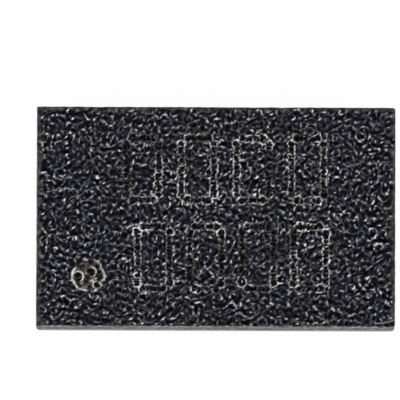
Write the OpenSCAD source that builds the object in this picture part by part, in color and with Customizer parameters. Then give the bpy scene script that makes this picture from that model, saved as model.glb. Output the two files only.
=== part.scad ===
// Moulded chip package with 21 solder balls, in millimetres.
// A silicon die is glued on a two-layer laminate, wired to its bond fingers,
// and covered with mould compound. Each ball stands on a copper pad of the
// underside and reaches its bond finger through a plated via.
// The origin is the centre of the outline, on the plane that the balls stand on.
// X runs along the seven columns (a to g), Y along the three rows (1 to 3).

/* [Package] */
// Length of the package, along X
body_l = 3.70; // [3.60:0.01:4.60]
// Width of the package, along Y
body_w = 2.27; // [2.20:0.01:2.80]
// Radius of the upright corners
corner_r = 0.035; // [0.02:0.005:0.08]
// Height of the mould compound above the top solder mask
cap_t = 0.45; // [0.36:0.01:0.80]

/* [Solder balls] */
// Distance between neighbouring balls
ball_pitch = 0.50; // [0.42:0.01:0.52]
// Number of columns
ball_cols = 7; // [3:1:7]
// Diameter of a ball after reflow
ball_d = 0.25; // [0.22:0.01:0.30]
// Diameter of the mask opening that holds the ball
opening_d = 0.20; // [0.16:0.01:0.21]

/* [Laminate] */
// Thickness of the core
core_t = 0.13; // [0.06:0.01:0.30]
// Thickness of each copper layer
copper_t = 0.015; // [0.010:0.001:0.020]
// Thickness of each solder mask over its copper
mask_t = 0.020; // [0.010:0.001:0.030]
// Diameter of the drilled via hole
via_d = 0.10; // [0.08:0.01:0.12]
// Thickness of the copper on the wall of a via
via_wall = 0.015; // [0.010:0.001:0.025]
// Diameter of the copper land around a via
via_land_d = 0.15; // [0.14:0.01:0.17]
// Distance from a ball to its via, along X and along Y, as a share of the pitch
via_share = 0.32; // [0.30:0.01:0.34]

/* [Underside copper] */
// Diameter of the copper pad under a ball
pad_d = 0.32; // [0.28:0.01:0.34]
// Width of the neck between a pad and its via land
neck_w = 0.08; // [0.05:0.01:0.10]
// Distance from the package edge to the copper bars
bar_margin = 0.10; // [0.06:0.01:0.14]
// Width of the bar along the long edge
edge_bar_w = 0.26; // [0.10:0.01:0.30]
// Gap between the pads and the bar that runs between the first and second rows
bar_gap = 0.040; // [0.030:0.005:0.045]
// Radius of the corners of the bar along the long edge
bar_r = 0.04; // [0.02:0.01:0.05]

/* [Bond fingers] */
// Width of a bond finger
finger_w = 0.09; // [0.06:0.01:0.12]
// Length of a bond finger
finger_l = 0.20; // [0.14:0.01:0.26]
// Distance from the package edge to a bond finger
finger_margin = 0.12; // [0.10:0.01:0.20]
// Width of the traces under the mask
trace_w = 0.04; // [0.03:0.005:0.06]
// Width of the plating tails that run out to the package edge
tail_w = 0.03; // [0.02:0.005:0.05]
// Bare laminate left around the fingers in the mask window
window_gap = 0.04; // [0.02:0.005:0.06]

/* [Die] */
// Length of the die, along X
die_l = 2.60; // [2.50:0.01:3.20]
// Width of the die, along Y
die_w = 1.04; // [0.80:0.01:1.30]
// Thickness of the die
die_t = 0.15; // [0.10:0.01:0.22]
// Thickness of the die attach film
film_t = 0.020; // [0.010:0.005:0.040]
// Side of a square bond pad
bond_pad = 0.070; // [0.060:0.005:0.090]
// Depth of a bond pad in the face of the die
bond_pad_t = 0.004; // [0.003:0.001:0.006]
// Distance from the edge of the die to the centre of a bond pad
pad_inset = 0.060; // [0.050:0.005:0.080]
// Place of a bond pad along X, as a share of the place of its finger
pad_fan = 0.72; // [0.65:0.01:0.74]

/* [Bond wires] */
// Diameter of the wire
wire_d = 0.025; // [0.018:0.001:0.030]
// Height of the loop above the die
loop_h = 0.12; // [0.08:0.01:0.15]
// Radius of the bend at the top of the loop
bend_r = 0.035; // [0.025:0.005:0.050]
// Diameter of the squashed ball on the bond pad
bond_d = 0.055; // [0.045:0.005:0.060]
// Height of the squashed ball
bond_h = 0.014; // [0.010:0.001:0.020]
// Length of the stitch on the finger
stitch_l = 0.050; // [0.030:0.005:0.080]

/* [Hidden] */
$fn = 48;
// Overshoot of a cutter past the face it opens
over = 0.01;
ball_rows = 3;
bottom_row = 0;
middle_row = 1;
top_row = 2;
// Columns whose upper ball is tied to the bar along the edge
edge_bar_cols = [0, 3, 6];
// Columns whose middle ball is tied to the bar between the rows
mid_bar_cols = [1, 5];

// Heights, from the plane that the balls stand on
standoff = ball_d / 2 + sqrt(pow(ball_d / 2, 2) - pow(opening_d / 2, 2));
z_pad = standoff + mask_t;
z_core = z_pad + copper_t;
z_core_top = z_core + core_t;
z_finger = z_core_top + copper_t;
z_film = z_finger + mask_t;
z_die = z_film + film_t;
z_die_top = z_die + die_t;

// Distance from the X axis to the middle of the bond fingers
finger_mid = body_w / 2 - finger_margin - finger_l / 2;
// Width of the bar between the first and second rows
mid_bar_w = ball_pitch - pad_d - 2 * bar_gap;
// Radius of its corners, limited by its width
mid_bar_r = min(bar_r, 0.4 * mid_bar_w);

// Sections of the wire: sides of the ring, rings of the bend and of the slope
wire_sides = 8;
bend_rings = 3;
slope_rings = 6;
// Width of the squashed ball at its foot and at its crown, as shares of its diameter
bond_foot = 0.88;
bond_crown = 0.76;
// Height of the widest part of the squashed ball, as a share of its height
bond_waist = 0.4;
// Reach of the handles of the slope's curve, as a share of its span
slope_handle = 0.38;
// Angle at which the slope comes down to the finger
landing_angle = 24;
// Height and width of the stitch, and width of its tip, in wire diameters
stitch_flat = 0.4;
stitch_spread = 1.5;
stitch_tip = 1.3;

balls = [for (c = [0 : ball_cols - 1]) for (r = [0 : ball_rows - 1]) [c, r]];
column_letters = "abcdefg";

layer_nodes = [
    "mold_cap", "die", "bond_pads", "die_attach_film",
    "top_solder_mask", "bond_fingers", "laminate_core",
    "via_barrels", "via_plugs", "ball_pads", "bottom_solder_mask"
];

// Name of a node that belongs to ball b = [column, row], such as solder_ball_a1
function ball_name(prefix, b) = str(prefix, column_letters[b[0]], b[1] + 1);

// Centre of ball b
function ball_xy(b) = [
    (b[0] - (ball_cols - 1) / 2) * ball_pitch,
    (b[1] - (ball_rows - 1) / 2) * ball_pitch
];

// Centre of the via of ball b: up and left of the middle row, else down and right
function via_xy(b) =
    ball_xy(b) + via_share * ball_pitch * (b[1] == middle_row ? [-1, 1] : [1, -1]);

// Long side that ball b is wired to: 1 for +Y and -1 for -Y.
// The middle row goes to both sides in turn.
function side_of(b) =
    b[1] == top_row ? 1 : b[1] == bottom_row ? -1 : b[0] % 2 == 0 ? 1 : -1;

// Middle of the bond finger of ball b
function finger_xy(b) = [via_xy(b)[0], side_of(b) * finger_mid];

// Centre of the bond pad of ball b on the die
function pad_xy(b) = [via_xy(b)[0] * pad_fan, side_of(b) * (die_w / 2 - pad_inset)];

// Outline of a rectangle about the origin with its corners rounded
function rounded_points(l, w, r, steps = 6) = [
    for (q = [0 : 3]) for (k = [0 : steps])
        let (a = 90 * (q + k / steps), sx = q == 0 || q == 3 ? 1 : -1, sy = q < 2 ? 1 : -1)
        [sx * (l / 2 - r) + r * cos(a), sy * (w / 2 - r) + r * sin(a)]
];

// Point of a cubic curve in the plane of the wire
function cubic(p, t) =
    pow(1 - t, 3) * p[0] + 3 * t * pow(1 - t, 2) * p[1]
    + 3 * t * t * (1 - t) * p[2] + pow(t, 3) * p[3];

// Direction of that curve
function cubic_angle(p, t) =
    let (d = pow(1 - t, 2) * (p[1] - p[0]) + 2 * t * (1 - t) * (p[2] - p[1]) + t * t * (p[3] - p[2]))
    atan2(d[1], d[0]);

// Rings of a bond wire of the given span, in its own upright plane. Each is
// [distance, height, direction, half width, half height]. The wire rises from
// the squashed ball, bends over, and slopes down to the stitch on the finger.
function wire_rings(span, dip) =
    let (
        r = wire_d / 2,
        z_neck = z_die_top + bond_h,
        z_loop = z_die_top + loop_h,
        reach = slope_handle * (span - bend_r),
        z_land = z_finger + r,
        flat_r = r * stitch_flat,
        slope = [
            [bend_r, z_loop],
            [bend_r + reach, z_loop],
            [span - stitch_l - reach, z_land + reach * tan(landing_angle)],
            [span - stitch_l, z_land]
        ]
    )
    concat(
        [
            [0, z_die_top - dip, 90, bond_foot * bond_d / 2, bond_foot * bond_d / 2],
            [0, z_die_top + bond_waist * bond_h, 90, bond_d / 2, bond_d / 2],
            [0, z_neck, 90, bond_crown * bond_d / 2, bond_crown * bond_d / 2],
            [0, z_neck + r, 90, r, r]
        ],
        [
            for (k = [0 : bend_rings])
                let (a = 90 * k / (bend_rings + 1))
                [bend_r * (1 - cos(a)), z_loop - bend_r + bend_r * sin(a), 90 - a, r, r]
        ],
        [
            for (k = [0 : slope_rings])
                let (t = k / slope_rings, p = cubic(slope, t))
                [p[0], p[1], cubic_angle(slope, t) * (k < slope_rings ? 1 : 0.5), r, r]
        ],
        [
            [span, z_finger + flat_r, 0, r * stitch_spread, flat_r],
            [span + stitch_l / 2, z_finger + flat_r, 0, r * stitch_tip, flat_r]
        ]
    );

// Corners of one ring, with a flat side below
function ring_points(g) = [
    for (k = [0 : wire_sides - 1])
        let (
            a = 360 * (k + 0.5) / wire_sides,
            out = 1 / cos(180 / wire_sides),
            across = g[3] * out * cos(a),
            up = g[4] * out * sin(a)
        )
        [g[0] - up * sin(g[2]), across, g[1] + up * cos(g[2])]
];

// A tube through a list of rings, closed at both ends
module ring_tube(rings) {
    n = wire_sides;
    last = len(rings) - 1;
    points = [for (g = rings) for (p = ring_points(g)) p];
    sides = [
        for (i = [0 : last - 1]) for (k = [0 : n - 1])
            let (a = i * n + k, b = i * n + (k + 1) % n)
            each [[a, a + n, b], [b, a + n, b + n]]
    ];
    start = [for (k = [0 : n - 1]) k];
    end = [for (k = [0 : n - 1]) last * n + n - 1 - k];
    polyhedron(points, concat([start, end], sides));
}

// A plate with the outline of the package
module body_plate(z, t) {
    translate([0, 0, z])
        linear_extrude(t)
            polygon(rounded_points(body_l, body_w, corner_r));
}

// A strip from point p to point q
module strip(p, q, w) {
    d = q - p;
    translate(p)
        rotate(atan2(d[1], d[0]))
            translate([0, -w / 2])
                square([norm(d), w]);
}

// Flat shape of the copper on the underside
module ball_pad_shape() {
    edge_y = body_w / 2 - bar_margin - edge_bar_w / 2;
    mid_y = -ball_pitch / 2;
    bar_l = body_l - 2 * bar_margin;
    for (b = balls) {
        translate(ball_xy(b)) circle(d = pad_d);
        translate(via_xy(b)) circle(d = via_land_d);
        strip(ball_xy(b), via_xy(b), neck_w);
    }
    translate([0, edge_y]) polygon(rounded_points(bar_l, edge_bar_w, bar_r));
    translate([0, mid_y]) polygon(rounded_points(bar_l, mid_bar_w, mid_bar_r));
    for (c = edge_bar_cols) {
        if (c < ball_cols) {
            p = ball_xy([c, top_row]);
            strip(p, [p[0], edge_y], neck_w);
        }
    }
    for (c = mid_bar_cols) {
        if (c < ball_cols) {
            p = ball_xy([c, middle_row]);
            strip(p, [p[0], mid_y], neck_w);
        }
    }
}

// Flat shape of the copper on the upper side: land, trace, finger and tail
module bond_finger_shape() {
    for (b = balls) {
        via = via_xy(b);
        finger = finger_xy(b);
        edge = [finger[0], side_of(b) * body_w / 2];
        reach = side_of(b) * finger_l / 2;
        translate(via) circle(d = via_land_d);
        strip(via, finger, trace_w);
        strip(finger - [0, reach], finger + [0, reach], finger_w);
        strip(finger, edge, tail_w);
    }
}

// The windows in the top mask, one over each row of fingers
module finger_windows(z, t) {
    half = max([for (b = balls) abs(finger_xy(b)[0])]) + finger_w / 2 + window_gap;
    w = finger_l + 2 * window_gap;
    for (side = [-1, 1])
        translate([-half, side * finger_mid - w / 2, z])
            cube([2 * half, w, t]);
}

// Bond pads of all balls, from height z up
module pad_squares(z, t) {
    for (b = balls)
        translate([pad_xy(b)[0] - bond_pad / 2, pad_xy(b)[1] - bond_pad / 2, z])
            cube([bond_pad, bond_pad, t]);
}

// One round column at each via
module via_columns(d, z, t) {
    for (b = balls)
        translate([via_xy(b)[0], via_xy(b)[1], z])
            cylinder(d = d, h = t);
}

// A bond wire where it lies. A cutter dips a little into the die.
module wire_shape(b, dip = 0) {
    d = finger_xy(b) - pad_xy(b);
    translate([pad_xy(b)[0], pad_xy(b)[1], 0])
        rotate([0, 0, atan2(d[1], d[0])])
            ring_tube(wire_rings(norm(d), dip));
}

// Truncated sphere on the plug that fills the mask opening
module solder_ball(b) {
    color("silver")
        translate([ball_xy(b)[0], ball_xy(b)[1], 0])
            rotate_extrude() {
                intersection() {
                    translate([0, ball_d / 2]) circle(d = ball_d);
                    square([ball_d / 2, standoff]);
                }
                translate([0, ball_d / 2]) square([opening_d / 2, z_pad - ball_d / 2]);
            }
}

// Green film over the underside, open at each ball
module bottom_solder_mask() {
    color([0.16, 0.22, 0.21])
        difference() {
            body_plate(standoff, mask_t + copper_t);
            translate([0, 0, z_pad]) linear_extrude(copper_t + over) ball_pad_shape();
            for (b = balls)
                translate([ball_xy(b)[0], ball_xy(b)[1], standoff - over])
                    cylinder(d = opening_d, h = mask_t + 2 * over);
        }
}

// Ball pads, via lands and the two bars of the underside
module ball_pads() {
    color([0.72, 0.45, 0.20])
        translate([0, 0, z_pad])
            linear_extrude(copper_t)
                ball_pad_shape();
}

// Glass and resin laminate, drilled for the vias
module laminate_core() {
    color([0.55, 0.50, 0.32])
        difference() {
            body_plate(z_core, core_t);
            via_columns(via_d, z_core - over, core_t + 2 * over);
        }
}

// Copper plated on the walls of the via holes
module via_barrels() {
    color([0.72, 0.45, 0.20])
        difference() {
            via_columns(via_d, z_core, core_t);
            via_columns(via_d - 2 * via_wall, z_core - over, core_t + 2 * over);
        }
}

// Resin that fills the via barrels
module via_plugs() {
    color([0.35, 0.38, 0.25])
        via_columns(via_d - 2 * via_wall, z_core, core_t);
}

// Bond fingers with their traces, via lands and plating tails
module bond_fingers() {
    color([0.83, 0.69, 0.35])
        translate([0, 0, z_core_top])
            linear_extrude(copper_t)
                intersection() {
                    bond_finger_shape();
                    polygon(rounded_points(body_l, body_w, corner_r));
                }
}

// Green film over the upper side, open over the fingers
module top_solder_mask() {
    color([0.16, 0.24, 0.22])
        difference() {
            body_plate(z_core_top, copper_t + mask_t);
            translate([0, 0, z_core_top - over]) linear_extrude(copper_t + over) bond_finger_shape();
            finger_windows(z_core_top - over, copper_t + mask_t + 2 * over);
        }
}

// Film that glues the die down
module die_attach_film() {
    color([0.75, 0.70, 0.55])
        translate([-die_l / 2, -die_w / 2, z_film])
            cube([die_l, die_w, film_t]);
}

// Silicon die, with a shallow seat for each bond pad
module die() {
    color([0.35, 0.36, 0.42])
        difference() {
            translate([-die_l / 2, -die_w / 2, z_die]) cube([die_l, die_w, die_t]);
            pad_squares(z_die_top - bond_pad_t, bond_pad_t + over);
        }
}

// Aluminium bond pads, flush with the face of the die
module bond_pads() {
    color([0.85, 0.86, 0.88])
        pad_squares(z_die_top - bond_pad_t, bond_pad_t);
}

// Gold wire from a bond pad to its finger
module bond_wire(b) {
    color([0.90, 0.72, 0.25]) wire_shape(b);
}

// Mould compound: fills the windows and wraps the die and the wires
module mold_cap() {
    color([0.20, 0.20, 0.22])
        difference() {
            union() {
                body_plate(z_film, cap_t);
                finger_windows(z_core_top, copper_t + mask_t + over);
            }
            translate([0, 0, z_core_top - over]) linear_extrude(copper_t + over) bond_finger_shape();
            translate([-die_l / 2, -die_w / 2, z_film - over])
                cube([die_l, die_w, film_t + die_t + over]);
            for (b = balls) wire_shape(b, over / 2);
        }
}

mold_cap();
die();
bond_pads();
die_attach_film();
top_solder_mask();
bond_fingers();
laminate_core();
via_barrels();
via_plugs();
ball_pads();
bottom_solder_mask();
for (b = balls) {
    solder_ball(b);
    bond_wire(b);
}
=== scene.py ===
"""Looks of a moulded chip package on a ball grid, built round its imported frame."""
import logging
import math
from dataclasses import dataclass, field
from enum import Enum
from typing import Any, Callable, Union

import bmesh
import bpy
import numpy as np
from bmesh.types import BMEdge, BMesh, BMFace, BMVert
from bpy.types import Object
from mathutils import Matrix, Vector, noise

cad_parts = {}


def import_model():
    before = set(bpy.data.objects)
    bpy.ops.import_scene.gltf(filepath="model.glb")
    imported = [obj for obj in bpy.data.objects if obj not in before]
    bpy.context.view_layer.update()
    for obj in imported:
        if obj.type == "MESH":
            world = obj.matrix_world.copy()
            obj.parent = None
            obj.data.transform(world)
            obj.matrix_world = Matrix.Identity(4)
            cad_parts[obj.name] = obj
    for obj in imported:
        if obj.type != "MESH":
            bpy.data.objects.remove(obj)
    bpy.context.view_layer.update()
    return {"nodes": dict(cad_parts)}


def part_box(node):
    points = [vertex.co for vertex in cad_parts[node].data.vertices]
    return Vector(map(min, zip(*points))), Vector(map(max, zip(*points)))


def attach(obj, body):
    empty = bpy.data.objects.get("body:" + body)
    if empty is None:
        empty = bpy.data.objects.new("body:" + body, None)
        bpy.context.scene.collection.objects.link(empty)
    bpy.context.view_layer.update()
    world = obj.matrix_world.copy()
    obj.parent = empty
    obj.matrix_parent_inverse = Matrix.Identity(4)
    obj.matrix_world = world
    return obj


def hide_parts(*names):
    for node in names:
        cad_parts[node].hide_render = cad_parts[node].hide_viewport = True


MM = 0.001
SNAP = 1e-8  # what counts as nothing
TOUCH = 1e-5  # millimetres within which a point lies in a plane
FACING = 0.9  # the least that a flat side's normal points its own way
FAR = 9.0  # further than any pit or ball reaches
CORNER_R = 0.035  # millimetres, as packed
ROOT = "root"
WHITE = (1.0, 1.0, 1.0, 1.0)
log = logging.getLogger("chip")

Map = np.ndarray
Pair = tuple[float, float]
Triple = tuple[float, float, float]
Rgb = Triple
Pit = tuple[float, float, float, float]


def linear(*levels: int) -> Rgb:
    """Turns display levels of red, green and blue, from 0 to 255, into the shader's linear colour."""
    shares = (level / 255 for level in levels)
    return tuple(s / 12.92 if s <= 0.04045 else ((s + 0.055) / 1.055) ** 2.4 for s in shares)


def bell(values: Map, width: float) -> Map:
    """A bell over values: 1 at 0, and soon 0 beyond the width."""
    return np.exp(-((values / width) ** 2))


def ramp(values: Map, width: float) -> Map:
    """A straight ramp over values, from 0 at 0 to 1 at the width."""
    return np.clip(values / width, 0.0, 1.0)


def noise_at(place: Vector | Triple, per_mm: Triple) -> float:
    """Smooth noise from -1 to 1 at a place, with its waves to the millimetre along each axis."""
    return noise.noise(Vector([at * waves for at, waves in zip(place, per_mm)]))


@dataclass(frozen=True)
class Cloud:
    """Soft noise about 0.5, from about 0.2 to 0.8, or a smooth step of it.

    It has its waves to the millimetre, its number of finer layers, a shift that makes it another
    pattern, a squeeze along X, Y and Z, and the two ends of the step.
    """

    per_mm: float
    detail: float = 2.0
    shift: float = 0.0
    squeezed: Triple | None = None
    step: Pair | None = None


@dataclass(frozen=True)
class Spots:
    """Soft spots in some cells of a pattern.

    It has its cells to the millimetre, the part of the cells' own colours that chooses among them,
    and the ends of the steps on that part and on the distance to the middle of the cell.
    """

    per_mm: float
    axis: str
    chosen: Pair
    core: Pair


class Signal:
    """One shader value. Python's operators on it add Math nodes."""

    def __init__(self, kit: "NodeKit", socket: bpy.types.NodeSocket | None) -> None:
        """Keeps the node tree and the output socket of the value."""
        self.kit = kit
        self.socket = socket

    def math(self, operation: str, *values: "Number") -> "Signal":
        """Adds a Math node with the operation as Blender names it."""
        return self.kit.node("ShaderNodeMath", {"operation": operation}, dict(enumerate(values)))

    def __add__(self, other: "Number") -> "Signal":
        """Sum of two values."""
        return self.math("ADD", self, other)

    def __radd__(self, other: float) -> "Signal":
        """Sum with a number on the left."""
        return self.math("ADD", other, self)

    def __sub__(self, other: "Number") -> "Signal":
        """Difference of two values."""
        return self.math("SUBTRACT", self, other)

    def __rsub__(self, other: float) -> "Signal":
        """Difference with a number on the left."""
        return self.math("SUBTRACT", other, self)

    def __mul__(self, other: "Number") -> "Signal":
        """Product of two values."""
        return self.math("MULTIPLY", self, other)

    def __rmul__(self, other: float) -> "Signal":
        """Product with a number on the left."""
        return self.math("MULTIPLY", other, self)

    def most(self, other: "Number") -> "Signal":
        """The larger of two values."""
        return self.math("MAXIMUM", self, other)

    def rise(self, low: float, high: float) -> "Signal":
        """A smooth step of the value.

        Args:
            low: Where it is 0.
            high: Where it is 1. A high below low gives a step that falls.

        Returns:
            A value from 0 to 1.
        """
        start, end = (0.0, 1.0) if high > low else (1.0, 0.0)
        span = {"From Min": min(low, high), "From Max": max(low, high), "To Min": start, "To Max": end}
        step = {"interpolation_type": "SMOOTHSTEP"}
        return self.kit.node("ShaderNodeMapRange", step, {"Value": self, **span})


Number = Union[Signal, float]


class NodeKit:
    """Adds the nodes of one material or world."""

    def __init__(self, tree: bpy.types.NodeTree) -> None:
        """Empties the node tree and keeps it."""
        tree.nodes.clear()
        self.tree = tree

    def node(self, kind: str, settings: dict[str, Any], values: dict[Any, Any], output: Any = 0) -> Signal:
        """Adds any node.

        Args:
            kind: The node's type.
            settings: Its own settings, set first.
            values: The value or signal of each socket, by name or number.
            output: The output that the caller goes on with.

        Returns:
            That output.
        """
        made = self.tree.nodes.new(kind)
        for key, setting in settings.items():
            setattr(made, key, setting)
        for key, value in values.items():
            if isinstance(value, Signal):
                self.tree.links.new(value.socket, made.inputs[key])
            else:
                made.inputs[key].default_value = value
        return Signal(self, made.outputs[output] if made.outputs else None)

    def vector(self, operation: str, first: Signal, second: Any) -> Signal:
        """Adds a Vector Math node with the operation as Blender names it."""
        return self.node("ShaderNodeVectorMath", {"operation": operation}, {0: first, 1: second})

    def stretch(self, vector: Signal, factors: Triple) -> Signal:
        """A vector with each part scaled by its own factor."""
        return self.vector("MULTIPLY", vector, factors)

    def place(self) -> Signal:
        """The place on the object in millimetres."""
        return self.stretch(self.node("ShaderNodeTexCoord", {}, {}, "Object"), (1 / MM,) * 3)

    def part(self, vector: Signal, axis: str) -> Signal:
        """One of the X, Y and Z parts of a vector."""
        return self.node("ShaderNodeSeparateXYZ", {}, {0: vector}, axis)

    def grey(self, level: Signal) -> Signal:
        """A colour or vector with the same value in all three parts."""
        return self.node("ShaderNodeCombineXYZ", {}, {0: level, 1: level, 2: level})

    def cloud(self, at: Signal, layer: Cloud) -> Signal:
        """Soft noise at a place in millimetres, as its layer says.

        Args:
            at: The place.
            layer: The noise's waves, finer layers, shift, squeeze and step.

        Returns:
            A value about 0.5, or from 0 to 1 where the layer has a step.
        """
        if layer.squeezed:
            at = self.stretch(at, layer.squeezed)
        moved = self.vector("ADD", at, (layer.shift, layer.shift * 0.7, layer.shift * 0.3))
        values = {"Vector": moved, "Scale": layer.per_mm, "Detail": layer.detail, "Roughness": 0.55}
        made = self.node("ShaderNodeTexNoise", {}, values, "Fac")
        return made.rise(*layer.step) if layer.step else made

    def bent(self, at: Signal, drift: Cloud, reach: Triple) -> Signal:
        """A place that soft noise moves, by up to a reach in millimetres along each axis."""
        return self.vector("ADD", at, self.stretch(self.grey(self.cloud(at, drift)), reach))

    def grains(self, at: Signal, per_mm: float) -> Signal:
        """The distance to the middle of the cell in a pattern of cells, in cells."""
        return self.node("ShaderNodeTexVoronoi", {}, {"Vector": at, "Scale": per_mm}, "Distance")

    def lots(self, at: Signal, per_mm: float) -> Signal:
        """A colour of its own for each cell of the same pattern as grains gives."""
        return self.node("ShaderNodeTexVoronoi", {}, {"Vector": at, "Scale": per_mm}, "Color")

    def spots(self, at: Signal, layer: Spots) -> Signal:
        """Soft spots at a place in millimetres, as their layer says."""
        chosen = self.part(self.lots(at, layer.per_mm), layer.axis).rise(*layer.chosen)
        return chosen * self.grains(at, layer.per_mm).rise(*layer.core)

    def stored(self, name: str) -> Signal:
        """A value stored in the mesh."""
        return self.node("ShaderNodeAttribute", {"attribute_name": name}, {}, "Fac")

    def mix(self, factor: Number, first: Any, second: Any) -> Signal:
        """Mixes two signals or linear colours. The factor is the share of the second one."""
        ends = [c if isinstance(c, Signal) else (*c, 1.0) for c in (first, second)]
        return self.node("ShaderNodeMix", {"data_type": "RGBA"}, {0: factor, 6: ends[0], 7: ends[1]}, 2)

    def relief(self, height: Signal, depth_mm: float) -> Signal:
        """A normal that follows a height of 0 to 1, which stands for a depth in millimetres."""
        return self.node("ShaderNodeBump", {}, {"Height": height, "Distance": depth_mm * MM, "Strength": 1.0})

    def surface(self, colour: Signal, rough: Signal, normal: Signal, fixed: dict[str, float]) -> None:
        """Adds the surface shader and the output.

        Args:
            colour: The base colour.
            rough: The roughness.
            normal: The normal.
            fixed: The values that are the same all over, by socket.
        """
        changing = {"Base Color": colour, "Roughness": rough, "Normal": normal}
        shader = self.node("ShaderNodeBsdfPrincipled", {}, {**changing, **fixed})
        self.node("ShaderNodeOutputMaterial", {}, {"Surface": shader})


@dataclass(frozen=True)
class Finish:
    """A named finish. Each kind of finish says how its nodes are made."""

    name: str

    def weave(self, kit: NodeKit) -> None:
        """Adds the nodes of the finish."""
        raise NotImplementedError

    def material(self) -> bpy.types.Material:
        """Makes the material, or finds it when it is made.

        Returns:
            The finished material.
        """
        name = f"{self.name}_finish"
        made = bpy.data.materials.get(name)
        if made is None:
            made = bpy.data.materials.new(name)
            made.use_nodes = True
            self.weave(NodeKit(made.node_tree))
        return made


@dataclass(frozen=True)
class MouldCompound(Finish):
    """Black epoxy with silica filler: cobbled on top, sawn on the sides."""

    name: str = "mould_compound"
    cool: Rgb = (0.000, 0.004, 0.026)
    warm: Rgb = (0.006, 0.004, 0.015)
    margin: Rgb = (0.026, 0.002, 0.006)
    laser: Rgb = (0.020, 0.011, -0.016)
    wall: Rgb = (0.002, 0.000, 0.015)
    hue: Cloud = Cloud(9.0, 1.0, step=(0.35, 0.65))
    fine: Cloud = Cloud(160.0, 2.0, 3.0)
    saw: Cloud = Cloud(9.0, 3.0, 7.0, (0.4, 0.4, 9.0))
    smear: Cloud = Cloud(2.6, 3.0, 17.0, (1.0, 1.0, 1.6))
    torn: Cloud = Cloud(17.0, 2.0, 31.0, (1.0, 1.0, 0.55))
    torn_rise: Pair = (0.60, 0.82)
    sawn_level: float = 0.43
    coarse_beads: Pair = (26.0, 0.0)
    fine_beads: Pair = (58.0, 3.1)
    bead_edge: float = 0.05
    torn_lots: Pair = (0.14, 0.06)
    gamma: float = 2.2
    relief_mm: float = 0.0012
    shine: float = 0.01

    def weave(self, kit: NodeKit) -> None:
        """Reads the stored pale pattern on top, which holds painted highlights on its ridges and specks, and
        makes saw lines and cut filler on the sides.

        Args:
            kit: The material's nodes.
        """
        at = kit.place()
        wall = kit.stored("wall")
        cast = kit.mix(kit.cloud(at, self.hue), self.cool, self.warm)
        for name in ("margin", "laser", "wall"):
            cast = kit.mix(kit.stored(name), cast, getattr(self, name))
        fine, saw, smear, torn = (kit.cloud(at, c) for c in (self.fine, self.saw, self.smear, self.torn))
        # The stored pale pattern: filler on the ridges and specks, with painted highlights there too.
        skin = kit.stored("pale") * (0.72 + fine * 0.56)
        filler = self._filler(kit, at, *self.coarse_beads) + self._filler(kit, at, *self.fine_beads) * 0.8
        cut = self.sawn_level + (saw - 0.5) * 0.12 + (smear - 0.5) * 0.14 + (fine - 0.5) * 0.10 + filler
        cut = cut + (torn - 0.5) * (0.42 + kit.part(at, "Z").rise(*self.torn_rise) * 0.36)
        shade = kit.vector("ADD", kit.grey(cut * wall + skin * (1.0 - wall)), cast)
        colour = kit.node("ShaderNodeGamma", {}, {"Color": shade, "Gamma": self.gamma})
        rough = 0.24 + fine * 0.12 + skin * 0.22 + wall * 0.30
        normal = kit.relief(fine + (filler * 2.0 + saw) * wall, self.relief_mm)
        kit.surface(colour, rough, normal, {"Specular IOR Level": self.shine})

    def _filler(self, kit: NodeKit, at: Signal, per_mm: float, shift: float) -> Signal:
        """Silica beads that the saw has cut: round, of many sizes, pale, or torn out and dark.

        Args:
            kit: The material's nodes.
            at: The place in millimetres.
            per_mm: How many beads there are to the millimetre.
            shift: How far the beads are moved, to make them other ones.

        Returns:
            How much lighter or darker the wall is there.
        """
        moved = kit.vector("ADD", at, (shift,) * 3)
        lots = kit.lots(moved, per_mm)
        size = 0.10 + kit.part(lots, "X") * 0.34
        bead = (size - kit.grains(moved, per_mm)).rise(0.0, self.bead_edge)
        tone = kit.part(lots, "Y")
        return bead * (tone * 0.16 - tone.rise(*self.torn_lots) * 0.20)


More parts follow.
